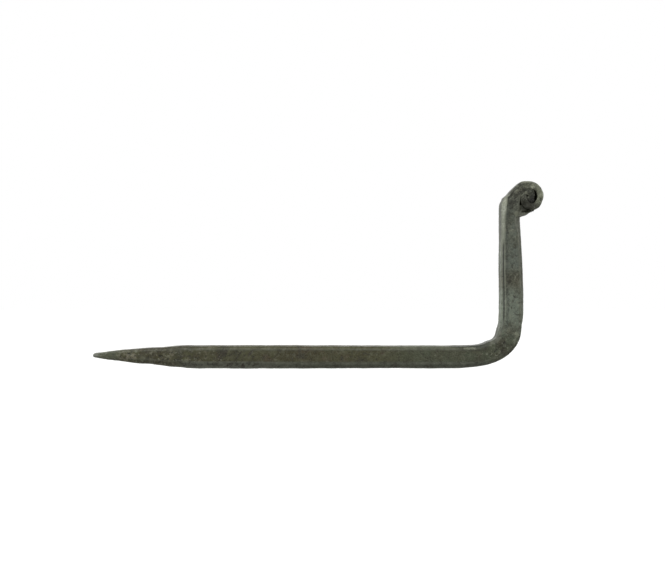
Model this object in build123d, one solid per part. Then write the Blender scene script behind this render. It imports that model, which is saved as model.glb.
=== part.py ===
from build123d import *
from math import cos, exp, hypot, pi, radians, sin
import os

os.makedirs("parts", exist_ok=True)

# L hook, hand forged from one length of square iron bar, in millimetres.
# The shank lies along X with its drawn point toward -X. The arm rises along +Z
# and the width of the bar lies along Y. The origin is on the centreline of the
# shank at the root of the point, where a driven hook meets the timber.

# The bar
bar = 6.35                     # square side of the bar
corner_share = 0.19            # leg of a hammered-down corner, as a share of the thickness

# The drawn point
point_length = 28.2
tip_size = 0.8                 # blunt end of the point, across the flats
point_curve = 0.73             # below 1 the point is full near its tip
tip_lift = 0.4                 # the tip sits this far above the centreline

# The shank and the bend
shank_length = 84.0            # root of the point to the start of the bend
bend_radius = 11.9             # to the centreline of the bar
bend_thinning = 0.3            # lost from the outside of the bend as the bar stretches
heel_outside = 0.6             # fullness of the heel on the outside of the bend
heel_inside = 0.5              # sharpening of the corner on the inside of the bend
heel_angle = -35               # the heel sits nearer the arm than the shank
heel_spread = 30               # degrees to either side

# The arm
arm_full_length = 6.5          # above the bend, before the bar is drawn down
arm_drawn_length = 26.0        # drawn down on its outer face only
arm_end_thickness = 5.25
shoulder_length = 3.15         # from the end of the arm to the level of the roll's centre
shoulder_curve = 2.2           # how late the shoulder leans over

# The roll at the end of the arm, turned over away from the shank
roll_radius = 4.25             # outside of the roll
swell = 0.455 * roll_radius    # how much further out the roll begins
swell_power = 7
root_thickness = 0.85 * roll_radius
turn_thickness = 0.375 * roll_radius  # of the thin outer turn
draw_out = 70                  # degrees in which the extra thickness falls to about a third
end_width = 5.8
roll_turn = 600                # degrees of turn from root to inner end
thin_spot = 0.5                # lost where the gap beside the core is widest
thin_turn = 135                # degrees of turn
full_spot = 0.7                # gathered under the core as the strip turns in
full_turn = 285
spot_spread = 90               # degrees to either side

# The tight core, where the strip tucks in beneath its own first half turn
seam = 0.15                    # closest the core comes to the turn around it
core_shift = 0.05 * roll_radius  # the core sits this far forward and this far up
core_fill = 0.9                # thickness of the strip in the core, as a share of its radius
tuck_start = 250               # degrees of turn
tuck_end = 390

# The web where the strip was beaten down into the corner between roll and arm
web_angle = -50                # where it leaves the roll
web_drop = 6.45                # lowest point, below the level of the roll's centre
web_width = 3.8                # centred, so it stands back from both faces of the bar
web_root = 1.3                 # how deep it reaches into the arm

step = 15                      # degrees between sections of the roll
bend_step = 7.5                # and of the bend


def station(x, z, angle):
    """Plane across the bar at (x, z); its own x runs out at the angle, its y along Y."""
    out = Vector(cos(radians(angle)), 0, sin(radians(angle)))
    return Plane(origin=(x, 0, z), x_dir=out, z_dir=out.cross(Vector(0, 1, 0)))


def section(place, near, far, width):
    """Rectangle from near to far along the plane's x, with its four corners taken off."""
    leg = corner_share * (far - near)
    side = width / 2
    half = [
        (near, leg - side), (near + leg, -side), (far - leg, -side), (far, leg - side),
    ]
    mirrored = [(along, -across) for along, across in reversed(half)]
    return make_face(place * Polyline(*half, *mirrored, close=True))


def drawn_point():
    """Four-sided point, drawn out of the bar and slightly full near its tip."""
    sections = []
    for share in (1, 3 / 4, 1 / 2, 1 / 4, 1 / 10, 0):
        size = tip_size + (bar - tip_size) * share ** point_curve
        place = station(point_length * (share - 1), tip_lift * (1 - share), -90)
        sections.append(section(place, -size / 2, size / 2, size))
    return loft(sections)


def shank():
    """Straight square shank."""
    face = section(station(0, 0, -90), -bar / 2, bar / 2, bar)
    return extrude(face, amount=shank_length, dir=(1, 0, 0))


def bend():
    """Right-angle bend, its heel a little fuller than a true arc."""
    sections = []
    for count in range(round(90 / bend_step) + 1):
        angle = count * bend_step - 90
        heel = cos(pi / 2 * min(abs(angle - heel_angle) / heel_spread, 1)) ** 2
        stretch = bend_thinning * sin(radians(-2 * angle))
        near = bend_radius - bar / 2 + heel_inside * heel
        far = bend_radius + bar / 2 + heel_outside * heel - stretch
        place = station(shank_length, bend_radius, angle)
        sections.append(section(place, near, far, bar))
    return loft(sections)


arm_x = shank_length + bend_radius
arm_inner = arm_x - bar / 2    # the face of the arm toward the shank, upright and straight
arm_full_z = bend_radius + arm_full_length
arm_end_z = arm_full_z + arm_drawn_length
roll_z = arm_end_z + shoulder_length
roll_root = roll_radius + swell
roll_x = arm_inner + arm_end_thickness + roll_root - root_thickness


def arm_section(z, inner, outer):
    """Level section of the arm between its inner and outer faces."""
    return section(station(0, z, 180), -outer, -inner, bar)


def full_arm():
    """The stretch of the arm that is still full bar."""
    face = arm_section(bend_radius, arm_inner, arm_inner + bar)
    return extrude(face, amount=arm_full_length, dir=(0, 0, 1))


def drawn_arm():
    """The stretch of the arm drawn down on its outer face, with flat sides."""
    start = arm_section(arm_full_z, arm_inner, arm_inner + bar)
    end = arm_section(arm_end_z, arm_inner, arm_inner + arm_end_thickness)
    return loft([start, end], ruled=True)


def shoulder_section(share):
    """Level section where the inner face leans over into the roll."""
    lean = (roll_x - roll_root - arm_inner) * share ** shoulder_curve
    z = arm_end_z + shoulder_length * share
    return arm_section(z, arm_inner + lean, arm_inner + arm_end_thickness)


def turn_radius(turn):
    """Outside of the first turn, which swings in from the arm to the round of the roll."""
    return roll_radius + swell * max(1 - turn / 180, 0) ** swell_power


def bump(turn, middle):
    """1 at the middle, easing to 0 on both sides."""
    return cos(pi / 2 * min(abs(turn - middle) / spot_spread, 1)) ** 2


def drawn_thickness(turn):
    """Thickness of the strip, drawn out from its root, thin beside the core and full below it."""
    drawn = turn_thickness + (root_thickness - turn_thickness) * exp(-turn / draw_out)
    return drawn + full_spot * bump(turn, full_turn) - thin_spot * bump(turn, thin_turn)


def room_for_core(turn):
    """Distance from the core's centre to the inside of the first turn."""
    inside = turn_radius(turn) - drawn_thickness(turn)
    across = -core_shift - inside * cos(radians(turn))
    up = -core_shift + inside * sin(radians(turn))
    return hypot(across, up)


core_radius = min(room_for_core(turn) for turn in range(0, 181, step)) - seam


def roll_section(turn):
    """Section of the rolled strip after this many degrees of turn from its root."""
    late = min(max((turn - tuck_start) / (tuck_end - tuck_start), 0), 1)
    tuck = (1 - cos(pi * late)) / 2
    far = turn_radius(turn) * (1 - tuck) + core_radius * tuck
    thickness = drawn_thickness(turn) * (1 - tuck) + core_fill * core_radius * tuck
    width = bar + (end_width - bar) * turn / roll_turn
    place = station(roll_x + core_shift * tuck, roll_z + core_shift * tuck, 180 - turn)
    return section(place, far - thickness, far, width)


def roll():
    """The arm's end rolled over into a small tight scroll, as one flowing strip."""
    shoulder = [shoulder_section(share) for share in (0, 1 / 3, 2 / 3)]
    strip = [roll_section(turn) for turn in range(0, roll_turn + 1, step)]
    return loft(shoulder + strip)


def web():
    """Wedge of metal between the underside of the roll and the arm."""
    arm_face = arm_inner + arm_end_thickness
    inside = roll_radius - turn_thickness / 2
    leave_x = roll_x + roll_radius * cos(radians(web_angle))
    leave_z = roll_z + roll_radius * sin(radians(web_angle))
    outline = Polyline(
        (arm_face - web_root, roll_z - web_drop),
        (arm_face, roll_z - web_drop),
        (leave_x, leave_z),
        (roll_x, roll_z - inside),
        (arm_face - web_root, roll_z - inside),
        close=True,
    )
    return extrude(make_face(Plane.XZ * outline), amount=web_width / 2, both=True)


hook = drawn_point() + [shank(), bend(), full_arm(), drawn_arm(), roll(), web()]
hook.label = "l_hook"

export_step(hook, "parts/l_hook.step")
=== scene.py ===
"""A hand-forged L hook: one square bar, drawn to a point, bent up into an arm and rolled at its end."""

import bmesh
import bpy
from itertools import product as product_of
from math import ceil, cos, degrees, exp, hypot, pi, radians, sin
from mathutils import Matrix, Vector
from types import SimpleNamespace


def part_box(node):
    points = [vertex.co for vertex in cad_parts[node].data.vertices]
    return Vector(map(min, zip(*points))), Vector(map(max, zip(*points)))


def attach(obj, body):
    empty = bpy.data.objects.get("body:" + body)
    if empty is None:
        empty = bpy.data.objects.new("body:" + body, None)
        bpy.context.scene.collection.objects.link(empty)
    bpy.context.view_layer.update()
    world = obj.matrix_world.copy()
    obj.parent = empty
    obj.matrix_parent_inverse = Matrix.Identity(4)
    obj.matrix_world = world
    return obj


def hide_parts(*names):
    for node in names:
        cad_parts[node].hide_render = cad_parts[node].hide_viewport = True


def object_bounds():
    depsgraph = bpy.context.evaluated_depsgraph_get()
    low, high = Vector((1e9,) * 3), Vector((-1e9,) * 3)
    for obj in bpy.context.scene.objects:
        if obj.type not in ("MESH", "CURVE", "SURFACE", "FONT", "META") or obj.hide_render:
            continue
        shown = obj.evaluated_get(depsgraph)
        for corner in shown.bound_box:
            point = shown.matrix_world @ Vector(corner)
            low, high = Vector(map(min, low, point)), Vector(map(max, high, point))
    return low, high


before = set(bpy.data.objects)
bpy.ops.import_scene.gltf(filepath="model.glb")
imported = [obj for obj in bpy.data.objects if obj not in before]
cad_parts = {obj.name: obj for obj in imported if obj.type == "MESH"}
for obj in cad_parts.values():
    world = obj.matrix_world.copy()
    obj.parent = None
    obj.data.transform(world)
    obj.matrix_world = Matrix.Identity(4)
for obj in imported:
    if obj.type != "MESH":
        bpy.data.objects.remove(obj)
cad_low, cad_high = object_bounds()

mm = 0.001
low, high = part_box("l_hook")

# The square bar, with its centreline along X at z = 0, and the point drawn from its end
bar = -2 * low.z
point_length = -low.x
tip_size = 0.8 * mm
point_curve = 0.73  # below 1, the taper is fuller than a straight one
tip_lift = 0.4 * mm  # the tip sits this far above the centreline
dome_start = 0.02  # the tip's first section lies this far into its rounding, as a share

# The bend; its angles run from -90 at the shank to 0 at the arm, and spreads go to either side
bend_radius = 11.9 * mm
heel_outside = 0.5 * mm  # fuller outside at the heel
heel_angle = -35
heel_spread = 30
heel_inside = 0.7 * mm  # and sharper inside
inside_angle = -42
inside_spread = 20
waist = 0.4 * mm  # lost from the outside where the bend leaves the shank
waist_angle = -80
waist_spread = 30
heel_flat = 0.28 * mm  # and where it meets the arm
heel_flat_angle = -9
heel_flat_spread = 17

# The arm, drawn thinner towards the scroll
arm_full_length = 6.5 * mm
arm_end_thickness = 5.25 * mm
shoulder_length = 3.15 * mm  # up to the level of the roll's centre
shoulder_curve = 2.2  # how late the shoulder leans over

# The rolled end; its turns are in degrees from where it leaves the arm
roll_radius = 4.25 * mm
swell = 0.455 * roll_radius  # how much further out the roll begins
swell_power = 7
root_thickness = 0.85 * roll_radius
turn_thickness = 0.375 * roll_radius
draw_out = 70  # in which the extra thickness falls to about a third
end_width = 5.8 * mm
roll_turn = 700
thin_spot = 0.05 * mm  # lost where the gap beside the core is widest
thin_turn = 170
thin_spread = 60
full_spot = 1.05 * mm  # gathered under the core as the strip turns in
full_turn = 298
full_spread = 74

# The core, where the strip tucks in beneath its own first turn
tuck_start = 225
tuck_end = 430
under_turn = 270  # from here on the strip lies under the turn before
core_reach = 2.2 * mm
core_taper = 0.25 * mm  # the core draws in by this, and at its end swells by twice as much
core_taper_start = 480
core_taper_turns = 100
core_swell_start = 560
core_swell_turns = 40
core_gap = 0.3 * mm  # it stands this much further in beside the gap
core_gap_turn = 540
core_gap_spread = 56
core_extra = 0.6 * mm  # and its strip is this much thicker
core_extra_start = 330
core_turns = 90  # in which it takes on the core's thickness and colour
core_hole = 0.06 * mm
seam = 0.04 * mm
seam_closing = 0.6  # the share of the seam that closes at the core's heart
seam_closing_start = 540
corner_turns = 60  # in which one size of corner gives way to the next
ease = 0.3 * mm  # how softly one turn makes way for the other

# The web left under the roll: a broad lip below, and deeply set back above it
web_angle = -50
web_drop = 6.1 * mm
web_root = 1.3 * mm
web_lip_width = 5.2 * mm
web_lip_edge = 0.2 * mm
web_wall_width = 4.8 * mm
web_wall_edge = 0.1 * mm
lip_level = 4.6 * mm  # the lip's upper side, below the roll's centre

# Corners knocked off along the bar
inner_corner = 0.85 * mm
outer_corner = 1.5 * mm
broad_corner = 0.7 * mm  # the shank's lower front corner is this much broader near the point
broad_x = 16 * mm
broad_fade = 22 * mm
arm_corner = 1.1 * mm
arm_corner_drop = 6.4 * mm  # from here below the roll's centre it sharpens into the roll's
arm_corner_rise = 4 * mm
back_corner = 1.2 * mm
back_corner_turns = 50
roll_outer_corner = 0.5 * mm
roll_inner_corner = 0.22 * mm
core_corner = 0.08 * mm
crisp_turn = 60  # the roll's inner corner is as crisp as the core's here
crisp_spread = 50
pinch = 0.7 * mm  # the arm's outer front corner is knocked in more below the roll
pinch_rise = 7.5 * mm
pinch_spread = 4.5 * mm
narrow_corner = 0.12 * mm  # lost from the arm's inner front corner halfway up
narrow_z = 27 * mm
narrow_spread = 16 * mm
worn_z = 41 * mm  # above here that corner is worn ever broader
worn_rise = 5 * mm
worn_corner = 0.7 * mm
worn_depth = 0.3  # and goes this much deeper across the bar than along its face
hood_z = 44.6 * mm  # and closes in again under the roll
hood_rise = 2.6 * mm
worn_turn = 10
bright_z = 14 * mm  # the same corner is worn from here up, and painted bright there as a sheen
bright_rise = 28 * mm

# Where the hammer left the bar a little full
skin = 0.08 * mm  # all round
full_top = 0.08 * mm  # the first part of the shank, fading out at full_back
full_bottom = 0.1 * mm
full_back = 60 * mm
full_rise = 4 * mm
full_inside = 0.11 * mm  # along the upper side, and up the inside of the arm
full_inside_start = -22 * mm
full_inside_rise = 10 * mm
full_inside_turns = 40
point_step = 0.13 * mm  # the point's lower side is set in from the shank's
point_step_length = 1.5 * mm
arm_lump = 0.1 * mm  # the arm is this much fuller inside and outside, halfway up
arm_lump_z = 28 * mm
arm_lump_spread = 10 * mm
shoulder_lump = 0.42 * mm  # a blunt corner where the shoulder meets the roll
shoulder_lump_rise = -0.25 * mm
shoulder_lump_spread = 0.95 * mm

# Lumps and hollows it left: the middle, how far they spread, and the height in mm
top_lumps = [(-1, 8, 0.13), (-11, 4, 0.12), (-18, 8, 0.17), (-27.5, 3, 0.1), (3.5, 4, -0.1)]
bottom_lumps = [(-5.3, 3, 0.17), (-16, 4.5, 0.11), (-11.3, 3, -0.1)]
bend_lumps = [(-85, 20, 0.14), (-4, 16, 0.12)]  # on the inside of the bend, by its angle
roll_lumps = [(62, 22, 0.2), (175, 45, 0.15), (228, 30, 0.28)]  # on the roll's first turn

# Fineness of the forged surface
ring_spacing = 0.26 * mm
turn_step = 3
points_a_side = 25
flat_points = 18
softening_passes = 2
crumb_points = 1000.0  # anything with fewer points than this is only a crumb
shelter_lift = 0.06 * mm  # how far off the surface its surroundings are felt


def smooth(value):
    """0 below 0, 1 above 1, and an even ease between."""
    value = min(max(value, 0), 1)
    return value * value * (3 - 2 * value)


def bump(place, middle, spread):
    """1 at the middle, 0 a spread away on both sides."""
    return cos(pi / 2 * min(abs(place - middle) / spread, 1)) ** 2


def lumps_at(place, lumps):
    """How far all the lumps and hollows of a list stand up at a place, in the list's own measure."""
    return sum(height * mm * bump(place, middle, spread) for middle, spread, height in lumps)


def turn_radius(turn):
    """Outside radius of the roll after so many degrees, swollen where it leaves the arm."""
    return roll_radius + swell * max(1 - turn / 180, 0) ** swell_power


def drawn_thickness(turn):
    """The bar thins quickly as it goes into the roll, and is gathered again in the core."""
    drawn = turn_thickness + (root_thickness - turn_thickness) * exp(-turn / draw_out)
    drawn += full_spot * bump(turn, full_turn, full_spread) - thin_spot * bump(turn, thin_turn, thin_spread)
    return drawn + core_extra * smooth((turn - core_extra_start) / core_turns)


# Places worked out from the frame: the roll touches its far side and its top
roll_x = high.x - roll_radius
roll_z = high.z - turn_radius(90)
roll_root = roll_radius + swell
arm_inner = roll_x - roll_root + root_thickness - arm_end_thickness
shank_length = arm_inner + bar / 2 - bend_radius
arm_full_z = bend_radius + arm_full_length
arm_end_z = roll_z - shoulder_length


def lesser(first, second):
    """The lesser of two sizes, eased where they cross."""
    return (first + second - hypot(first - second, ease)) / 2


def strip_outside(turn):
    """From the roll's middle to the outside of the strip, which lies close inside the turn before."""
    tucked = smooth((turn - tuck_start) / (tuck_end - tuck_start))
    reach = turn_radius(turn) + (core_reach - roll_radius) * tucked
    if turn <= under_turn:
        return reach
    reach -= core_taper * smooth((turn - core_taper_start) / core_taper_turns)
    reach -= core_gap * bump(turn, core_gap_turn, core_gap_spread)
    reach += 2 * core_taper * smooth((turn - core_swell_start) / core_swell_turns)
    closed = seam * (1 - seam_closing * smooth((turn - seam_closing_start) / corner_turns))
    return lesser(reach, strip_inside(turn - 360) - closed)


def strip_inside(turn):
    """From the roll's middle to the inside of the strip, or to the arm's face below the roll."""
    if turn < 0:
        return (roll_root - root_thickness) / max(cos(radians(turn)), 0.01)  # kept off zero
    return max(strip_outside(turn) - drawn_thickness(turn), core_hole)


def ring(
    x, z, angle, near, far, inner, outer, back=back_corner,
    width=bar, depth=1.0, worn=0.0, rolled=0.0, core=0.0,
):
    """One section of the bar, with its inner and outer faces near and far along the direction out.

    inner, outer and back are its corners' sizes, and depth says how many times as deep the inner front
    corner goes across the bar as along its face; worn, rolled and core say how far that corner is worn,
    with its bright colour a painted sheen, and the section belongs to the roll and to its core.
    """
    out = Vector((cos(radians(angle)), 0, sin(radians(angle))))
    near, far, width = near - skin, far + skin, width + 2 * skin
    return {
        "centre": Vector((x, 0, z)) + out * (near + far) / 2,
        "out": out,
        "half": Vector(((far - near) / 2, width / 2, worn)),
        "corners": Vector((inner, outer, back)),
        "state": Vector((depth, rolled, core)),
    }


def spaced(length, spacing=ring_spacing):
    """Even shares from 0 up to, but not with, 1."""
    count = ceil(length / spacing)
    return [n / count for n in range(count)]


def full_share(x):
    """1 along the first half of the stretch that is left full, and 0 at its ends."""
    return smooth((full_back - x) / full_back * 2) * smooth(x / full_rise)


def swell_top(x):
    """How far the shank's and point's upper side stands off a plain one."""
    along = full_top * full_share(x) + full_inside * smooth((x - full_inside_start) / full_inside_rise)
    return along + lumps_at(x / mm, top_lumps)


def swell_bottom(x):
    """The same for the lower side, set in along the whole point."""
    along = full_bottom * full_share(x) - point_step * smooth(-x / point_step_length)
    return along + lumps_at(x / mm, bottom_lumps)


def under_corner(x):
    """The lower front corner of the point and the shank, broad at first."""
    return outer_corner + broad_corner * (1 - smooth((x - broad_x) / broad_fade))


def point_rings():
    """The drawn point, from its blunt tip to the full bar."""
    rings = []
    for share in spaced(point_length):
        behind_tip = share * point_length
        dome = min(behind_tip / (tip_size / 2) + dome_start, 1)
        size = (tip_size + (bar - tip_size) * share**point_curve) * (1 - (1 - dome) ** 2) ** 0.5
        x = behind_tip - point_length
        thin = size / bar
        near = -size / 2 - swell_top(x) * dome
        far = size / 2 + swell_bottom(x) * dome
        corners = inner_corner * thin, under_corner(x) * thin, back_corner * thin
        rings.append(ring(x, tip_lift * (1 - share), -90, near, far, *corners, width=size))
    return rings


def shank_rings():
    """The straight bar, left a shade thicker behind the point."""
    rings = []
    for share in spaced(shank_length):
        x = share * shank_length
        angle = degrees((x - shank_length) / bend_radius) - 90
        near = -bar / 2 - swell_top(x) - lumps_at(angle, bend_lumps)
        far = bar / 2 + swell_bottom(x) + heel_swell(angle)
        rings.append(ring(x, 0, -90, near, far, inner_corner, under_corner(x)))
    return rings


def heel_swell(angle):
    """How far the outside of the bend stands off a plain curve."""
    full = heel_outside * bump(angle, heel_angle, heel_spread)
    full -= waist * bump(angle, waist_angle, waist_spread)
    return full - heel_flat * bump(angle, heel_flat_angle, heel_flat_spread)


def bend_rings():
    """The bend, from the shank's direction round to the arm's."""
    rings = []
    for share in spaced(bend_radius * pi / 2):
        angle = 90 * share - 90
        near = bend_radius - bar / 2 - full_inside + heel_inside * bump(angle, inside_angle, inside_spread)
        near -= lumps_at(angle, bend_lumps)
        far = bend_radius + bar / 2 + heel_swell(angle)
        outer = outer_corner + (arm_corner - outer_corner) * share
        rings.append(ring(shank_length, bend_radius, angle, near, far, inner_corner, outer))
    return rings


def rubbed_corner(z):
    """The arm's inner front corner, narrow halfway up and worn broad towards the top."""
    broader = smooth((z - worn_z) / worn_rise) * (1 - smooth((z - hood_z) / hood_rise))
    return inner_corner - narrow_corner * bump(z, narrow_z, narrow_spread) + worn_corner * broader


def arm_ring(z, inner, outer):
    """A level section of the arm."""
    worn = smooth((z - bright_z) / bright_rise)
    past_bend = degrees((z - bend_radius) / bend_radius)
    lump = arm_lump * bump(z, arm_lump_z, arm_lump_spread)
    inner -= full_inside + lump + lumps_at(past_bend, bend_lumps)
    outer += lump - heel_flat * bump(past_bend, heel_flat_angle, heel_flat_spread)
    outer_size = arm_corner + pinch * bump(z, roll_z - pinch_rise, pinch_spread)
    sharpened = smooth((z - roll_z + arm_corner_drop) / arm_corner_rise)
    outer_size += (roll_inner_corner - arm_corner) * sharpened
    depth = 1 + worn_depth * worn
    return ring(0, z, 0, inner, outer, rubbed_corner(z), outer_size, depth=depth, worn=worn)


def arm_rings():
    """The arm at full size, then drawn down on its outer face."""
    rings = []
    for share in spaced(arm_full_length):
        rings.append(arm_ring(bend_radius + share * arm_full_length, arm_inner, arm_inner + bar))
    for share in spaced(arm_end_z - arm_full_z):
        z = arm_full_z + (arm_end_z - arm_full_z) * share
        outer = arm_inner + bar + (arm_end_thickness - bar) * share
        rings.append(arm_ring(z, arm_inner, outer))
    return rings


def shoulder_swell(rise):
    """The blunt corner's height, so far above the level of the roll's centre."""
    return shoulder_lump * bump(rise, shoulder_lump_rise, shoulder_lump_spread)


def shoulder_rings():
    """The arm's inner face leans over towards the roll."""
    rings = []
    for share in spaced(shoulder_length):
        lean = (roll_x - roll_root - arm_inner) * share**shoulder_curve
        z = arm_end_z + shoulder_length * share
        inner = arm_inner + lean - shoulder_swell(z - roll_z)
        rings.append(arm_ring(z, inner, arm_inner + arm_end_thickness))
    return rings


def roll_rings():
    """The drawn-down end, rolled over and tucked into a tight core."""
    rings = []
    for turn in range(0, roll_turn + 1, turn_step):
        far = strip_outside(turn)
        inside = strip_inside(turn)
        if turn < 90:
            far += shoulder_swell(far * sin(radians(turn)))
        if turn < under_turn:
            far += full_inside * (1 - smooth(turn / full_inside_turns)) + lumps_at(turn, roll_lumps)
        worn = 1 - smooth(turn / worn_turn)
        inner = roll_outer_corner + (rubbed_corner(roll_z) - roll_outer_corner) * worn
        inner += (core_corner - inner) * smooth((turn - under_turn - corner_turns / 2) / corner_turns)
        crisp = smooth((turn - under_turn) / corner_turns) + bump(turn, crisp_turn, crisp_spread)
        outer = roll_inner_corner + (core_corner - roll_inner_corner) * crisp
        back = back_corner + (roll_inner_corner - back_corner) * smooth(turn / back_corner_turns)
        shape = {
            "width": bar + (end_width - bar) * turn / roll_turn,
            "depth": 1 + worn_depth * worn,
            "worn": worn,
            "rolled": smooth(turn / corner_turns),
            "core": smooth((turn - under_turn) / core_turns),
        }
        rings.append(ring(roll_x, roll_z, -turn, -far, -inside, inner, outer, back, **shape))
    return rings


def bar_path():
    """Every section of the bar as a chain of points that carry its sizes."""
    rings = point_rings() + shank_rings() + bend_rings() + arm_rings() + shoulder_rings() + roll_rings()
    mesh = bpy.data.meshes.new("bar_path")
    chain = [(n, n + 1) for n in range(len(rings) - 1)]
    mesh.from_pydata([ring["centre"] for ring in rings], chain, [])
    for name in rings[0]:
        values = mesh.attributes.new(name, "FLOAT_VECTOR", "POINT")
        for value, one in zip(values.data, rings):
            value.vector = one[name]
    return mesh


def placed(name, data):
    """An object with this data, put into the scene."""
    made = bpy.data.objects.new(name, data)
    bpy.context.scene.collection.objects.link(made)
    return made


def block(name, outline, width, edge):
    """A block of this width with its outline, seen from the front, about the roll's centre."""
    shape = bmesh.new()
    near = shape.faces.new([shape.verts.new((roll_x + x, -width / 2, roll_z + z)) for x, z in outline])
    rims = list(near.edges)
    moved = bmesh.ops.extrude_face_region(shape, geom=[near])["geom"]
    back = [part for part in moved if isinstance(part, bmesh.types.BMVert)]
    bmesh.ops.translate(shape, vec=(0, width, 0), verts=back)
    rims += [part for part in moved if isinstance(part, bmesh.types.BMEdge)]
    bmesh.ops.bevel(shape, geom=rims, offset=edge, segments=3, profile=0.5, affect="EDGES")
    bmesh.ops.recalc_face_normals(shape, faces=shape.faces)
    mesh = bpy.data.meshes.new(name)
    shape.to_mesh(mesh)
    shape.free()
    return placed(name, mesh)


def web_blocks():
    """The web's broad lip and the wall over it, which run from inside the arm to inside the roll."""
    face = root_thickness - roll_root
    right_x = (roll_radius + skin) * cos(radians(web_angle))
    right_z = (roll_radius + skin) * sin(radians(web_angle))
    lip = [
        (face - web_root, -web_drop),
        (face, -web_drop),
        (-0.6 * mm, -5.6 * mm),
        (right_x - 0.2 * mm, right_z),
        (right_x - 0.8 * mm, right_z + 0.1 * mm),
        (1.3 * mm, 0.25 * mm - lip_level),
        (-1.6 * mm, -lip_level),
        (-2.35 * mm, 0.5 * mm - lip_level),
        (face - web_root, 0.8 * mm - lip_level),
    ]
    wall = [
        (face - web_root, -lip_level - 0.4 * mm),
        (1.3 * mm, -lip_level + 0.05 * mm),
        (1.3 * mm, -2.8 * mm),
        (face - web_root, -2.6 * mm),
    ]
    made = block("lip", lip, web_lip_width, web_lip_edge)
    return made, block("wall", wall, web_wall_width, web_wall_edge)


def node(kind, inputs, tree=None, **settings):
    """A node with its settings made, and its inputs linked to outputs or set to values.

    It belongs to the same tree as the outputs, so a tree is only given where there are none.
    """
    if tree is None:
        tree = [value for value in inputs.values() if isinstance(value, bpy.types.NodeSocket)][0].id_data
    made = tree.nodes.new(kind)
    for name, value in settings.items():
        setattr(made, name, value)
    for key, value in inputs.items():
        socket = made.inputs[key] if isinstance(key, int) else by_name(made.inputs, key)
        if isinstance(value, bpy.types.NodeSocket):
            tree.links.new(value, socket)
        else:
            socket.default_value = value
    return made


def by_name(sockets, key):
    """A socket by its identifier, or else by its name."""
    named = [socket for socket in sockets if socket.identifier == key]
    return (named or [socket for socket in sockets if socket.name == key])[0]


def calc(operation, *values):
    """One step of arithmetic, as a node."""
    return node("ShaderNodeMath", dict(enumerate(values)), operation=operation).outputs[0]


def product(*values):
    """Several shares multiplied together."""
    total = values[0]
    for value in values[1:]:
        total = calc("MULTIPLY", total, value)
    return total


def ramp(value, start, end, low=0.0, high=1.0):
    """Eases from low to high as the value goes from start to end."""
    inputs = {"Value": value, "From Min": start, "From Max": end, "To Min": low, "To Max": high}
    return node("ShaderNodeMapRange", inputs, interpolation_type="SMOOTHSTEP").outputs["Result"]


def blend_values(share, first, second):
    """From the first value to the second as share goes from 0 to 1."""
    inputs = {"Factor_Float": share, "A_Float": first, "B_Float": second}
    return by_name(node("ShaderNodeMix", inputs, data_type="FLOAT").outputs, "Result_Float")


def noise(place, size, detail=2.0, roughness=0.5, seed=0.0):
    """Soft noise whose lumps are about so many metres across, from 0 to 1."""
    inputs = {"Vector": place, "W": seed, "Scale": per_metre(size), "Detail": detail, "Roughness": roughness}
    return node("ShaderNodeTexNoise", inputs, noise_dimensions="4D").outputs["Fac"]


def per_metre(size):
    """The scale that a pattern of this size has."""
    if isinstance(size, bpy.types.NodeSocket):
        return calc("DIVIDE", 1.0, size)
    return 1 / size


def parts_of(vector):
    """A vector's x, y and z."""
    return node("ShaderNodeSeparateXYZ", {"Vector": vector}).outputs


def joined(x, y, z=0.0):
    """A vector from its x, y and z."""
    return node("ShaderNodeCombineXYZ", {"X": x, "Y": y, "Z": z}).outputs[0]


def scaled(vector, scale):
    """A vector made so many times as long."""
    inputs = {0: vector, "Scale": scale}
    return node("ShaderNodeVectorMath", inputs, operation="SCALE").outputs[0]


def added(first, second):
    """Two vectors, one after the other."""
    return node("ShaderNodeVectorMath", {0: first, 1: second}).outputs[0]


def from_front(place, x, z):
    """How far a place lies from a point on the hook's front, whose x and z are in mm."""
    middle = Vector((x * mm, -bar / 2, z * mm))
    inputs = {0: place, 1: middle}
    return node("ShaderNodeVectorMath", inputs, operation="DISTANCE").outputs["Value"]


def carried(tree, name, kind="FLOAT_VECTOR"):
    """A value that the bar carries under this name."""
    return node("GeometryNodeInputNamedAttribute", {"Name": name}, tree, data_type=kind).outputs[0]


def carry(geometry, name, value, kind="FLOAT_VECTOR"):
    """Writes a value on the geometry's points under a name."""
    inputs = {"Geometry": geometry, "Name": name, "Value": value}
    stored = node("GeometryNodeStoreNamedAttribute", inputs, data_type=kind, domain="POINT")
    return stored.outputs["Geometry"]


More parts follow.
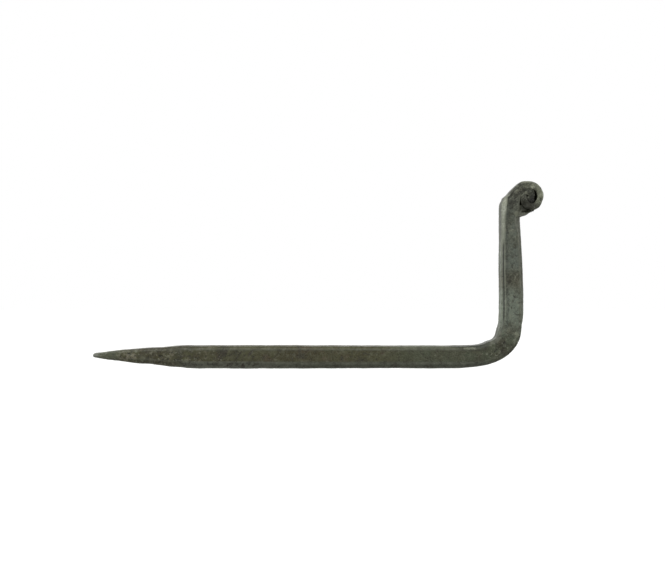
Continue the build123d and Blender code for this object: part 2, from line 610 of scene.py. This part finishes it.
def section_outline(tree, given):
    """A square outline whose points know their place on a flat, on a corner and at a ridge."""
    side_count = given["Points a Side"]
    count = product(side_count, 4.0)
    circle = node("GeometryNodeCurvePrimitiveCircle", {"Resolution": count}).outputs["Curve"]
    index = node("GeometryNodeInputIndex", {}, tree).outputs[0]
    turned = calc("DIVIDE", index, side_count)
    side = calc("FLOOR", turned)
    place = calc("FRACT", turned)
    share = given["Flat Share"]

    # Along a flat from -1 to 1, and then round its corner
    along = calc("MINIMUM", calc("DIVIDE", place, share), 1.0)
    flat_x = calc("SUBTRACT", product(along, 2.0), 1.0)
    past = calc("MAXIMUM", calc("SUBTRACT", place, share), 0.0)
    corner = calc("DIVIDE", past, calc("SUBTRACT", 1.0, share))
    angle = product(corner, pi / 2)
    softness = given["Edge Softness"]
    corner_x = blend_values(softness, corner, calc("SINE", angle))
    corner_y = blend_values(softness, calc("SUBTRACT", 1.0, corner), calc("COSINE", angle))

    # How near a point is to the middle of its flat, and to the ridge where flat and corner meet
    middle = calc("SUBTRACT", 1.0, product(flat_x, flat_x))
    from_edge = calc("ABSOLUTE", calc("SUBTRACT", place, share))
    from_end = calc("MINIMUM", place, calc("SUBTRACT", 1.0, place))
    ridge = ramp(calc("MINIMUM", from_edge, from_end), 0.0, 0.1, 1.0, 0.0)

    quarter = product(side, pi / 2)
    flat = turned_by(joined(flat_x, -1.0), quarter)
    outward = turned_by(joined(corner_x, product(corner_y, -1.0)), quarter)
    outline = carry(circle, "flat", flat)
    outline = carry(outline, "corner", outward)
    return carry(outline, "ridge", joined(ridge, middle))


def turned_by(vector, angle):
    """A vector turned in the plane of the outline."""
    inputs = {"Vector": vector, "Angle": angle}
    return node("ShaderNodeVectorRotate", inputs, rotation_type="Z_AXIS").outputs[0]


def swept_bar(tree, given):
    """The outline carried along the path, and put at each section's own sizes."""
    curve = node("GeometryNodeMeshToCurve", {"Mesh": given["Path"]}).outputs[0]
    inputs = {"Curve": curve, "Profile Curve": section_outline(tree, given), "Fill Caps": True}
    swept = node("GeometryNodeCurveToMesh", inputs).outputs[0]
    flat_x, flat_y, _ = parts_of(carried(tree, "flat"))
    corner_x, corner_y, _ = parts_of(carried(tree, "corner"))
    half_thickness, half_width, worn = parts_of(carried(tree, "half"))

    # The corner's size here, along the bar's thickness and across its width
    inner, outer, back = parts_of(carried(tree, "corners"))
    front = blend_values(ramp_straight(flat_x), inner, outer)
    leg = blend_values(ramp_straight(flat_y), front, back)
    depth = parts_of(carried(tree, "state"))[0]
    depth = blend_values(ramp_straight(flat_x), depth, 1.0)
    depth = blend_values(ramp_straight(flat_y), depth, 1.0)
    deep_leg = product(leg, depth)

    # Each way, the flat ends short of the corner, and its middle stands up a little
    crown = product(parts_of(carried(tree, "ridge"))[1], given["Face Crown"])
    ways = ((half_thickness, leg, flat_x, corner_x), (half_width, deep_leg, flat_y, corner_y))
    across = []
    for half, size, flat, corner in ways:
        inset = product(calc("SUBTRACT", half, size), flat)
        reach = calc("ADD", size, crown)
        across.append(calc("ADD", inset, product(corner, reach)))
    out = scaled(carried(tree, "out"), across[0])
    place = added(carried(tree, "centre"), added(out, joined(0.0, across[1])))

    # The inner front corner is the one that is worn, and it is marked for the painted sheen that the iron
    # gives it
    nearer = [ramp_straight(product(flat, -1.0)) for flat in (flat_x, flat_y)]
    facet = ramp(product(*nearer), 0.9, 1.0)
    swept = carry(swept, "worn", product(facet, worn), "FLOAT")
    return moved(swept, Position=place)


def ramp_straight(value):
    """From -1..1 to 0..1."""
    return calc("MULTIPLY_ADD", value, 0.5, 0.5)


def moved(geometry, **ways):
    """The geometry with its points put at a Position or moved on by an Offset."""
    return node("GeometryNodeSetPosition", {"Geometry": geometry, **ways}).outputs[0]


def place_and_normal(tree):
    """Where each point of a geometry is, and which way its surface faces."""
    kinds = "GeometryNodeInputPosition", "GeometryNodeInputNormal"
    return [node(kind, {}, tree).outputs[0] for kind in kinds]


def softened(tree, geometry, passes):
    """Edges worn round by averaging each point with its neighbours."""
    place = node("GeometryNodeInputPosition", {}, tree).outputs[0]
    blurred = node("GeometryNodeBlurAttribute", {"Iterations": passes}, tree, data_type="FLOAT_VECTOR")
    values = [socket for socket in blurred.inputs if socket.enabled and socket.name == "Value"]
    tree.links.new(place, values[0])
    even = [socket for socket in blurred.outputs if socket.enabled][0]
    return moved(geometry, Position=even)


# Single dents in the front: across, up, reach and depth in mm
dents = [
    (101.7, 49.7, 0.8, -0.35),
    (99.4, 50.3, 1.1, 0.3),
    (104.0, 46.6, 0.9, 0.35),
    (98.9, 45.0, 1.8, 0.5),
    (95.2, 47.2, 1.3, 0.3),
    (94.6, 9.6, 1.3, 0.22),
    (96.9, 5.6, 1.5, 0.3),
    (92.3, 2.4, 1.2, 0.2),
    (-7.5, 0.4, 1.4, 0.25),
    (2.4, -1.0, 1.6, 0.22),
]


def hammered(tree, geometry, given):
    """Hammer blows, scale and pits pressed into the surface along its normal."""
    place, normal = place_and_normal(tree)
    seed = given["Seed"]
    blows = noise(place, given["Blow Size"], 0.0, 0.5, seed)
    scale = noise(place, given["Scale Size"], 2.0, 0.6, calc("ADD", seed, 3.0))
    pitting = noise(place, given["Pit Size"], 1.0, 0.5, calc("ADD", seed, 7.0))
    pits = ramp(pitting, 0.36, 0.48, -1.0, 0.0)
    height = product(calc("SUBTRACT", blows, 0.5), given["Blow Depth"])
    height = calc("MULTIPLY_ADD", calc("SUBTRACT", scale, 0.5), given["Scale Depth"], height)
    height = calc("MULTIPLY_ADD", pits, given["Pit Depth"], height)
    rolled = parts_of(carried(tree, "state"))[1]
    lumps = noise(place, given["Lump Size"], 1.0, 0.5, calc("ADD", seed, 11.0))
    front = calc("MAXIMUM", product(parts_of(normal)[1], -1.0), 0.0)
    lumps = product(rolled, front, calc("SUBTRACT", lumps, 0.5), given["Lump Depth"])
    height = calc("ADD", height, lumps)
    for x, z, reach, depth in dents:
        gap = from_front(place, x, z)
        height = calc("ADD", height, ramp(gap, 0.0, reach * mm, -depth * mm, 0.0))
    return moved(geometry, Offset=scaled(normal, height))


def roughened(tree, geometry, given):
    """A plain block's faces and edges made uneven."""
    finer = node("GeometryNodeSubdivideMesh", {"Mesh": geometry, "Level": 3}).outputs[0]
    place, normal = place_and_normal(tree)
    lumps = noise(place, given["Scale Size"], 1.0, 0.5, calc("ADD", given["Seed"], 15.0))
    height = product(calc("SUBTRACT", lumps, 0.5), given["Web Roughness"])
    return moved(finer, Offset=scaled(normal, height))


def without_slivers(tree, geometry):
    """Takes away the few crumbs that joining leaves between close faces."""
    island = node("GeometryNodeInputMeshIsland", {}, tree).outputs["Island Index"]
    inputs = {"Value": 1.0, "Group Index": island}
    points = node("GeometryNodeAccumulateField", inputs).outputs["Total"]
    crumb = calc("LESS_THAN", points, crumb_points)
    return node("GeometryNodeDeleteGeometry", {"Geometry": geometry, "Selection": crumb}).outputs[0]


def sheltered(tree, geometry, given):
    """Notes at every point how much of the space around it the hook itself closes off."""
    place, normal = place_and_normal(tree)
    start = added(place, scaled(normal, shelter_lift))
    closed, whole = 0.0, 0.0
    for step in product_of((-1, 0, 1), repeat=3):
        if step == (0, 0, 0):
            continue
        way = Vector(step).normalized()
        facing = node("ShaderNodeVectorMath", {0: normal, 1: way}, operation="DOT_PRODUCT")
        weight = calc("MAXIMUM", facing.outputs["Value"], 0.0)
        inputs = {"Target Geometry": geometry, "Source Position": start, "Ray Direction": way}
        ray = node("GeometryNodeRaycast", {**inputs, "Ray Length": given["Shelter Reach"]})
        closed = calc("MULTIPLY_ADD", weight, ray.outputs["Is Hit"], closed)
        whole = calc("ADD", whole, weight)
    share = calc("DIVIDE", closed, whole)
    return carry(geometry, "shelter", share, "FLOAT")


tree_inputs = {
    "Points a Side": points_a_side,
    "Flat Share": flat_points / points_a_side,
    "Edge Softness": 0.4,
    "Face Crown": 0.05 * mm,
    "Blow Size": 5.0 * mm,
    "Blow Depth": 0.22 * mm,
    "Scale Size": 1.6 * mm,
    "Scale Depth": 0.12 * mm,
    "Pit Size": 0.8 * mm,
    "Pit Depth": 0.05 * mm,
    "Lump Size": 2.0 * mm,
    "Lump Depth": 1.1 * mm,
    "Web Roughness": 0.75 * mm,
    "Shelter Reach": 1.6 * mm,
    "Seed": 4.0,
}


def forging_tree():
    """The tree that sweeps the bar along its path, hammers it and joins the web to it."""
    tree = bpy.data.node_groups.new("forged_bar", "GeometryNodeTree")
    interface = tree.interface
    kinds = {name: "Int" if isinstance(value, int) else "Float" for name, value in tree_inputs.items()}
    others = {"Lip": "Object", "Wall": "Object", "Finish": "Material"}
    for name, kind in {"Path": "Geometry", **kinds, **others}.items():
        interface.new_socket(name, in_out="INPUT", socket_type=f"NodeSocket{kind}")
    interface.new_socket("Hook", in_out="OUTPUT", socket_type="NodeSocketGeometry")
    given = tree.nodes.new("NodeGroupInput").outputs
    swept = softened(tree, swept_bar(tree, given), softening_passes)
    forged = hammered(tree, swept, given)
    union = node("GeometryNodeMeshBoolean", {}, tree, operation="UNION", solver="MANIFOLD")
    tree.links.new(forged, union.inputs["Mesh 2"])
    # The lip is marked so that the iron can paint it lighter, as painted light
    for name, bright in (("Lip", 1.0), ("Wall", 0.0)):
        web = node("GeometryNodeObjectInfo", {"Object": given[name]}).outputs["Geometry"]
        uneven = roughened(tree, web, given)
        tree.links.new(carry(uneven, "lip", bright, "FLOAT"), union.inputs["Mesh 2"])
    whole = sheltered(tree, without_slivers(tree, union.outputs["Mesh"]), given)
    shaded = node("GeometryNodeSetShadeSmooth", {"Geometry": whole}).outputs[0]
    real = node("GeometryNodeRealizeInstances", {"Geometry": shaded}).outputs[0]
    inputs = {"Geometry": real, "Material": given["Finish"]}
    finished = node("GeometryNodeSetMaterial", inputs).outputs[0]
    node("NodeGroupOutput", {"Hook": finished})
    return tree


def grown(path, tree, values):
    """The tree's result on a path, as a plain mesh."""
    maker = placed("bar_path", path)
    modifier = maker.modifiers.new("forging", "NODES")
    modifier.node_group = tree
    sockets = {item.name: item.identifier for item in tree.interface.items_tree if item.in_out == "INPUT"}
    for name, value in values.items():
        modifier[sockets[name]] = value
    shown = maker.evaluated_get(bpy.context.evaluated_depsgraph_get())
    mesh = bpy.data.meshes.new_from_object(shown)
    maker.modifiers.remove(modifier)
    bpy.data.objects.remove(maker)
    return mesh


def hook_piece(finish):
    """The whole hook, in place of its plain construction."""
    lip, wall = web_blocks()
    mesh = grown(bar_path(), forging_tree(), {**tree_inputs, "Lip": lip, "Wall": wall, "Finish": finish})
    bpy.data.objects.remove(lip)
    bpy.data.objects.remove(wall)
    mesh.name = "forged_hook"
    piece = placed("forged_hook", mesh)
    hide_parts("l_hook")
    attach(piece, "root")
    return piece


def colour(red, green, blue):
    """A colour from its everyday values out of 255."""
    parts = [value / 255 for value in (red, green, blue)]
    plain = [part / 12.92 if part <= 0.04045 else ((part + 0.055) / 1.055) ** 2.4 for part in parts]
    return (*plain, 1)


def blend(share, *tones):
    """From the first tone to the second as share goes from 0 to 1; a tone is linked or given out of 255."""
    first, second = [tone if isinstance(tone, bpy.types.NodeSocket) else colour(*tone) for tone in tones]
    inputs = {"Factor_Float": share, "A_Color": first, "B_Color": second}
    return by_name(node("ShaderNodeMix", inputs, data_type="RGBA").outputs, "Result_Color")


def drawn_lines(place, lean, length, width, seed):
    """Noise drawn out into lines that lean so many degrees from the bar's own direction."""
    turned = node("ShaderNodeMapping", {"Vector": place, "Rotation": (0, radians(lean), 0)}).outputs[0]
    inputs = {"Vector": turned, "Scale": (width / length, 1, 1)}
    squeezed = node("ShaderNodeMapping", inputs).outputs[0]
    return noise(squeezed, width, 2.0, 0.5, seed)


def spot(place, x, z, reach, edge):
    """A ragged spot on the front, from its middle in mm out to its reach."""
    gap = from_front(place, x, z)
    ragged = calc("MULTIPLY_ADD", calc("SUBTRACT", edge, 0.5), 1.2 * mm, gap)
    return ramp(ragged, 0.4 * reach * mm, reach * mm, 1.0, 0.0)


def stretch(value, start, full, fading, end):
    """1 from full to fading, easing to 0 at start and at end."""
    return product(ramp(value, start, full), ramp(value, end, fading))


def away_from(value, middle):
    """How far a value is from a middle, on either side."""
    return calc("ABSOLUTE", calc("SUBTRACT", value, middle))


def laid_on(tone, layers):
    """A tone with each layer's colour laid over it, as far as the layer's share goes."""
    for share, shade in layers:
        tone = blend(share, tone, shade)
    return tone


def noted(tree, name, output="Fac"):
    """What the forging noted on the piece under this name."""
    return node("ShaderNodeAttribute", {}, tree, attribute_name=name).outputs[output]


def hook_places(tree):
    """Where a point of the surface lies, and how far it belongs to each part of the hook."""
    place = node("ShaderNodeTexCoord", {}, tree).outputs["Object"]
    across, _, height = parts_of(scaled(place, 1 / mm))
    span, side, _ = parts_of(noted(tree, "flat", "Vector"))
    arm = ramp(height, 3, 12)
    taper = ramp(across, 22, -4)
    bend = product(ramp(across, 79, 88), ramp(height, 12, 6))
    rough_forged = calc("MAXIMUM", taper, bend)
    return SimpleNamespace(
        place=place,
        across=across,  # in mm, like the height
        height=height,
        span=span,  # from -1 along the bar's inner edge to 1 along its outer edge
        side=side,  # from -1 at the front to 1 at the back
        front=ramp(side, -0.98, -1.0),
        turned_in=product(parts_of(noted(tree, "corner", "Vector"))[0], -1.0),
        ridge=parts_of(noted(tree, "ridge", "Vector"))[0],
        core=parts_of(noted(tree, "state", "Vector"))[2],
        lip=noted(tree, "lip"),
        worn_facet_sheen=noted(tree, "worn"),
        hollow=noted(tree, "shelter"),
        arm=arm,
        low_arm=stretch(height, 9, 12, 32, 35),
        high_arm=stretch(height, 34, 37, 46, 48),
        head=ramp(height, 41, 47),
        taper=taper,
        far_shank=ramp(across, 52, 74),
        rough_forged=rough_forged,
        coarse=calc("MAXIMUM", rough_forged, product(arm, 0.6)),
    )


def iron_patterns(place):
    """The noises that the iron's colours and its relief come from, each with its own seed."""
    return SimpleNamespace(
        broad=noise(place, 11 * mm, 3.0, 0.55, 1.0),
        patch=noise(place, 5 * mm, 4.0, 0.6, 2.0),
        crust=noise(place, 2.6 * mm, 3.0, 0.6, 9.0),
        cloud=noise(place, 1.8 * mm, 4.0, 0.65, 3.0),
        specks=noise(place, 0.9 * mm, 2.0, 0.55, 6.0),
        grain=noise(place, 0.45 * mm, 3.0, 0.6, 4.0),
        lines=drawn_lines(place, 50, 5 * mm, 0.9 * mm, 5.0),
        streaks=drawn_lines(place, 40, 3 * mm, 0.6 * mm, 12.0),
        draws=drawn_lines(place, 90, 16 * mm, 0.7 * mm, 8.0),
    )


def shank_colour(at, pattern):
    """Olive brown, and greener towards the bend."""
    mottled = ramp(pattern.broad, 0.4, 0.6)
    olive = blend(mottled, (51, 47, 22), (62, 61, 36))
    return blend(at.far_shank, olive, (60, 65, 48))


def arm_colour(at, pattern):
    """Grey-green, palest above the bend, with a brown patch over the pale stretch."""
    mottled = ramp(pattern.broad, 0.42, 0.58)
    pale = ramp(at.height, 23, 17, 0.0, 0.85)
    brown = ramp(away_from(at.height, 23.3), 1, 4, 0.6, 0.0)
    brown = product(brown, ramp(pattern.patch, 0.3, 0.5))
    grey = blend(mottled, (72, 75, 64), (85, 92, 83))
    return laid_on(grey, [(pale, (108, 117, 104)), (brown, (62, 58, 40))])


def head_colour(at, pattern):
    """Darker on the side towards the shank as painted shade, lighter on the crown and the far edge as
    painted light, and darkest in the core.
    """
    across, height = at.across, at.height
    mottled = ramp(pattern.patch, 0.42, 0.58)
    # Painted light on the far side, the crown and the far edge, and painted shade on the near side
    far_side_light = ramp(across, 97.5, 102.5, 0.0, 0.8)
    near_side_shade = product(ramp(across, 99.5, 97.5), ramp(height, 43, 46))
    crown = product(ramp(across, 97.8, 99.2), ramp(height, 49.6, 50.8))
    far_rim_light = product(ramp(across, 102.2, 103.4), ramp(height, 44.8, 46.4))
    layers = [
        (far_side_light, (76, 78, 65)),
        (product(near_side_shade, 0.9), (44, 46, 40)),
        (product(crown, 0.9), (108, 111, 95)),
        (product(far_rim_light, at.head), (122, 126, 106)),
        (at.core, (38, 39, 31)),
    ]
    return laid_on(blend(mottled, (56, 58, 49), (82, 84, 71)), layers)


def crust_layers(at, pattern):
    """Rust, the crust of the roughly forged ends, and the shank's paler underside, its paleness painted
    light.
    """
    cleaner = calc("MAXIMUM", at.arm, at.far_shank)
    rust = product(ramp(pattern.patch, 0.5, 0.62), blend_values(cleaner, 0.85, 0.25))
    # Painted light: the shank's lower facet is painted paler than its front
    under = product(ramp(at.height, -0.9, -1.5), ramp(at.across, -6, 2))
    under = product(under, calc("SUBTRACT", 1.0, at.arm), 0.75)
    nearer_bend = ramp(at.across, 14, 40)
    return [
        (rust, (60, 50, 31)),
        (product(ramp(pattern.crust, 0.5, 0.4), at.rough_forged, 0.8), (42, 36, 22)),
        (product(ramp(pattern.crust, 0.56, 0.66), at.taper, 0.7), (112, 107, 90)),
        (under, blend(nearer_bend, (90, 94, 83), (66, 70, 60))),
    ]


def scale_layers(at, pattern):
    """Scale and soot in clouds, the marks of the hammer and the file, grain and pits."""
    marked = ramp(away_from(at.across, 15), 4, 9, 1.0, 0.3)
    scale = blend_values(at.coarse, 0.18, 0.7)
    pits = blend_values(at.coarse, 0.25, 0.8)
    bright = blend_values(at.coarse, 0.12, 0.45)
    return [
        (product(ramp(pattern.cloud, 0.54, 0.66), scale), (108, 108, 92)),
        (ramp(pattern.cloud, 0.47, 0.36, 0.0, 0.75), (40, 38, 27)),
        (product(ramp(pattern.lines, 0.46, 0.34), marked), (38, 32, 20)),
        (product(ramp(pattern.streaks, 0.46, 0.36), at.head, 0.7), (36, 37, 30)),
        (product(ramp(pattern.streaks, 0.56, 0.66), at.head, 0.5), (122, 124, 108)),
        (product(ramp(pattern.draws, 0.42, 0.32), at.arm, 0.2), (50, 52, 45)),
        (ramp(pattern.grain, 0.3, 0.7, 0.0, 0.15), (120, 122, 104)),
        (product(ramp(pattern.grain, 0.5, 0.32), at.arm, 0.45), (48, 51, 42)),
        (product(ramp(pattern.grain, 0.52, 0.7), at.arm, 0.3), (126, 132, 116)),
        (product(ramp(pattern.specks, 0.42, 0.34), pits), (34, 33, 24)),
        (product(ramp(pattern.specks, 0.6, 0.68), bright), (136, 139, 122)),
    ]


def shank_edge_layers(at):
    """The upper edges of the point and the shank, and the point's greener end."""
    near_bend = ramp(at.across, 76, 80)
    front_edge = ramp(at.side, -0.3, -0.6)
    upper = product(ramp(at.height, 1.5, 2.4), at.taper, 0.35)
    darker = blend_values(near_bend, 0.3, 0.6)
    under_edge = product(stretch(at.height, 1.7, 2.0, 2.4, 2.65), stretch(at.across, 0, 10, 86, 90), darker)
    top_line = product(ramp(at.height, 2.55, 2.9), stretch(at.across, 56, 66, 77, 80), front_edge, 0.25)
    bend_line = product(ramp(at.height, 2.8, 3.1), near_bend, ramp(at.across, 90, 87), front_edge, 0.6)
    return [
        (upper, (48, 44, 30)),
        (under_edge, (36, 35, 22)),
        (top_line, (116, 118, 102)),
        (bend_line, (30, 31, 27)),
        (ramp(at.across, -19, -22, 0.0, 0.45), (90, 97, 80)),
    ]


def arm_edge_layers(at, pattern):
    """The arm's worn corner with a painted sheen, dark lines beside it, painted shade along that corner and
    inside the bend, the web's lip lightened as painted light, and the ridges, worn and with painted
    highlights.
    """
    span, side = at.span, at.side
    broken = ramp(pattern.draws, 0.25, 0.5, 0.5, 1.0)
    outer_edge = product(ramp(span, 0.76, 0.9), at.front, at.arm, broken, 0.5)
    # A painted sheen on the worn inner front corner, fading under the roll
    rubbed_sheen = product(at.worn_facet_sheen, broken, ramp(at.height, 48.6, 46.4, 0.2, 1.0))
    # The ridges lightened: partly wear, partly a painted highlight
    worn = product(at.ridge, ramp(pattern.cloud, 0.35, 0.65, 0.35, 1.0), 0.36)
    crease = product(stretch(span, -0.85, -0.72, -0.58, -0.35), at.front, at.arm)
    crease = product(crease, ramp(pattern.grain, 0.3, 0.6, 1.0, 0.5), 0.6)
    # A painted highlight along the ridge of the arm's inner front corner
    ridge_highlight = product(stretch(span, -1.0, -0.95, -0.84, -0.74), at.front, at.low_arm, 0.28)
    # Painted shade along the inner edge of the worn corner and on the front of the arm's inner face
    inner = ramp(span, -0.96, -1.0)
    corner_shade_line = product(inner, ramp(side, -0.96, -1.0), ramp(at.turned_in, 0.55, 0.3), at.low_arm, 0.85)
    face_shade_line = product(inner, ramp(side, -0.1, -0.7), ramp(at.turned_in, 0.8, 0.95), at.high_arm, 0.55)
    # Painted shade on the inside of the bend
    inside_bend_shade = product(ramp(span, -0.86, -1.0), ramp(at.height, 13, 8), ramp(at.across, 79, 85), 0.55)
    return [
        (outer_edge, (52, 53, 38)),
        (rubbed_sheen, (118, 121, 108)),
        # Painted light: the web's lip is made lighter
        (product(at.lip, 0.5), (116, 118, 106)),
        (worn, (128, 131, 116)),
        (crease, (48, 50, 44)),
        (ridge_highlight, (126, 130, 116)),
        (calc("MAXIMUM", corner_shade_line, face_shade_line), (38, 40, 34)),
        (inside_bend_shade, (56, 58, 50)),
    ]


# Where the front is worn bright and where highlights are painted on it, and where it is darker and where
# shade is painted on it: across, up and reach in mm, and how strongly
worn_and_highlight_spots = [
    (101.6, 50.3, 0.8, 0.8),
    (103.4, 49.2, 0.7, 0.5),
    (99.6, 48.4, 0.7, 0.4),
    (98.7, 47.7, 0.6, 0.25),
    (100.8, 45.6, 0.4, 0.5),
    (104.3, 47.9, 0.8, 0.6),
    (97.0, 42.2, 1.1, 0.4),
    (96.9, 6.6, 1.2, 0.5),
    (-10.5, -1.2, 1.8, 0.25),
    (-13.0, -0.6, 2.0, 0.22),
    (-15.5, -0.8, 1.5, 0.2),
    (93.3, 45.6, 1.5, 0.35),
    (100.2, 50.7, 1.7, 0.16),
]
# A bright scratch along the shank's upper edge, just before the bend: worn, with its glint a painted
# highlight
scratch_and_glint = [(81.6 + 0.4 * step, 2.75, 0.5, 0.26) for step in range(9)]
# Darker patches of the iron, and painted shade on the roll's lower side and in the pocket beneath it
dark_patch_and_shade_spots = [
    (99.9, 44.6, 2.6, 0.8),
    (101.2, 45.2, 1.7, 0.8),
    (99.7, 47.0, 1.3, 0.45),
    (99.4, 43.5, 0.9, 0.8),
    (98.3, 48.4, 0.8, 0.7),
    (98.9, 49.1, 0.8, 0.8),
    (99.5, 49.4, 0.7, 0.6),
    (97.5, 51.0, 0.9, 0.8),
    (96.2, 49.9, 1.2, 0.6),
    (95.4, 45.2, 1.8, 0.35),
    (103.0, 44.6, 1.0, 0.4),
    (95.3, 48.9, 1.1, 0.5),
    (104.1, 46.4, 0.8, 0.7),
    (95.6, 6.3, 1.0, 0.4),
    (93.4, 3.7, 1.3, 0.55),
    (-4.7, 2.3, 2.0, 0.35),
    (-2.0, 2.4, 2.0, 0.35),
    (0.8, 2.5, 1.6, 0.3),
    (-2.6, 0.3, 2.0, 0.3),
    (10.5, 0.9, 2.6, 0.25),
    (14.6, 0.8, 2.6, 0.25),
]
# Black painted shade at the lower end of the roll's crescent gap and in the pocket beneath the roll
black_shade_spots = [(101.6, 46.1, 1.2, 0.9), (101.5, 46.9, 1.0, 0.8), (100.1, 43.4, 1.4, 0.35)]


def spot_layers(at, pattern):
    """The single spots on the front: worn bright and painted highlights, darker patches and painted shade,
    and black painted shade.
    """
    shades = (
        (worn_and_highlight_spots + scratch_and_glint, (134, 137, 118)),
        (dark_patch_and_shade_spots, (32, 32, 22)),
        (black_shade_spots, (10, 10, 6)),
    )
    layers = []
    for spots, shade in shades:
        for x, z, reach, strength in spots:
            layers.append((product(spot(at.place, x, z, reach, pattern.grain), strength), shade))
    return layers


def iron_relief(at, pattern):
    """The fine relief of the scale, as a bumped normal."""
    relief = calc("ADD", pattern.cloud, product(pattern.grain, 0.35))
    relief = calc("MULTIPLY_ADD", ramp(pattern.lines, 0.3, 0.42), 0.25, relief)
    relief = calc("MULTIPLY_ADD", ramp(pattern.specks, 0.34, 0.44), 0.3, relief)
    drawn = product(ramp(pattern.draws, 0.3, 0.45), at.arm)
    relief = calc("MULTIPLY_ADD", drawn, 0.3, relief)
    inputs = {"Height": relief, "Strength": 1.0, "Distance": 0.24 * mm}
    return node("ShaderNodeBump", inputs).outputs["Normal"]


def forged_iron():
    """Oiled black iron: olive brown on the shank, greyer on the arm, rust and scale near the point."""
    material = bpy.data.materials.new("forged_iron")
    material.use_nodes = True
    tree = material.node_tree
    shader = tree.nodes["Principled BSDF"].inputs
    at = hook_places(tree)
    pattern = iron_patterns(at.place)

    tone = blend(at.arm, shank_colour(at, pattern), arm_colour(at, pattern))
    tone = blend(at.head, tone, head_colour(at, pattern))
    tone = laid_on(tone, crust_layers(at, pattern))
    tone = laid_on(tone, scale_layers(at, pattern))
    tone = laid_on(tone, shank_edge_layers(at))
    tone = laid_on(tone, arm_edge_layers(at, pattern))
    blunt_tip = ramp(at.across, -25.6, -27.2, 0.0, 0.8)
    tone = blend(blunt_tip, tone, (120, 122, 114))
    tone = laid_on(tone, spot_layers(at, pattern))
    # Painted shade: the hollows that the hook closes off around itself are painted near black, and below
    # they are also made dull and unreflecting
    painted_hollow_shade = ramp(at.hollow, 0.2, 0.7, 0.0, 0.74)
    tone = blend(painted_hollow_shade, tone, (26, 27, 16))
    tree.links.new(tone, shader["Base Color"])

    dull = ramp(at.hollow, 0.1, 0.5)
    rough = blend_values(pattern.cloud, 0.62, 0.42)
    rough = blend_values(at.ridge, rough, 0.36)
    rough = blend_values(at.worn_facet_sheen, rough, 0.32)
    tree.links.new(blend_values(dull, rough, 0.95), shader["Roughness"])
    tree.links.new(blend_values(dull, 0.3, 0.0), shader["Specular IOR Level"])
    tree.links.new(iron_relief(at, pattern), shader["Normal"])
    shader["Metallic"].default_value = 0.1
    return material


# The studio
view_distance = 0.2967
view_width = 0.1973  # across the picture, at the hook's own plane
sensor_width = 36
view_aside = 0.0046
view_below = 0.0055
floor_z = -0.09
floor_reach = 6  # to either side
paper_grey = (0.5, 0.5, 0.49, 1)
paper_lift = 0.6  # where it is seen
soft_light = 0.3  # from all around
white = (1, 1, 1, 1)


def camera():
    """Level, square on to the flat of the hook."""
    middle = (cad_low + cad_high) / 2
    data = bpy.data.cameras.new("camera")
    data.sensor_width = sensor_width
    data.lens = sensor_width * view_distance / view_width
    made = placed("camera", data)
    made.location = (middle.x + view_aside, -view_distance, middle.z - view_below)
    made.rotation_euler = (pi / 2, 0, 0)
    bpy.context.scene.camera = made


def lamp(name, towards, strength, spread):
    """A broad, even light from a direction."""
    data = bpy.data.lights.new(name, "SUN")
    data.energy = strength
    data.angle = radians(spread)
    placed(name, data).rotation_euler = Vector(towards).to_track_quat("Z", "Y").to_euler()


def world_light():
    """White where it is seen or mirrored, and a softer grey as light."""
    world = bpy.data.worlds.new("studio")
    world.use_nodes = True
    bpy.context.scene.world = world
    tree = world.node_tree
    background = tree.nodes["Background"]
    path = node("ShaderNodeLightPath", {}, tree).outputs
    seen = calc("MAXIMUM", path["Is Camera Ray"], path["Is Glossy Ray"])
    seen = calc("MAXIMUM", seen, path["Is Transmission Ray"])
    tree.links.new(blend_values(seen, soft_light, 1.0), background.inputs["Strength"])
    background.inputs["Color"].default_value = white


def floor():
    """A wide pale sheet below the hook."""
    shape = bmesh.new()
    bmesh.ops.create_grid(shape, x_segments=1, y_segments=1, size=floor_reach)
    bmesh.ops.translate(shape, vec=(0, 0, floor_z), verts=shape.verts)
    mesh = bpy.data.meshes.new("floor")
    shape.to_mesh(mesh)
    shape.free()
    paper = bpy.data.materials.new("white_paper")
    paper.use_nodes = True
    tree = paper.node_tree
    shader = tree.nodes["Principled BSDF"].inputs
    shader["Base Color"].default_value = paper_grey
    shader["Roughness"].default_value = 0.9
    shader["Specular IOR Level"].default_value = 0.0
    shader["Emission Color"].default_value = white
    seen = node("ShaderNodeLightPath", {}, tree).outputs["Is Camera Ray"]
    tree.links.new(product(seen, paper_lift), shader["Emission Strength"])
    mesh.materials.append(paper)
    made = placed("floor", mesh)


bpy.context.scene.view_settings.view_transform = "Standard"
hook_piece(forged_iron())
floor()
camera()
lamp("key", (-0.85, -0.2, 0.6), 3.0, 35)
lamp("side", (0.9, -0.25, 0.3), 1.3, 40)
lamp("front", (0, -1, 0.3), 0.5, 60)
lamp("back", (0.1, 0.9, 0.5), 0.5, 60)
world_light()
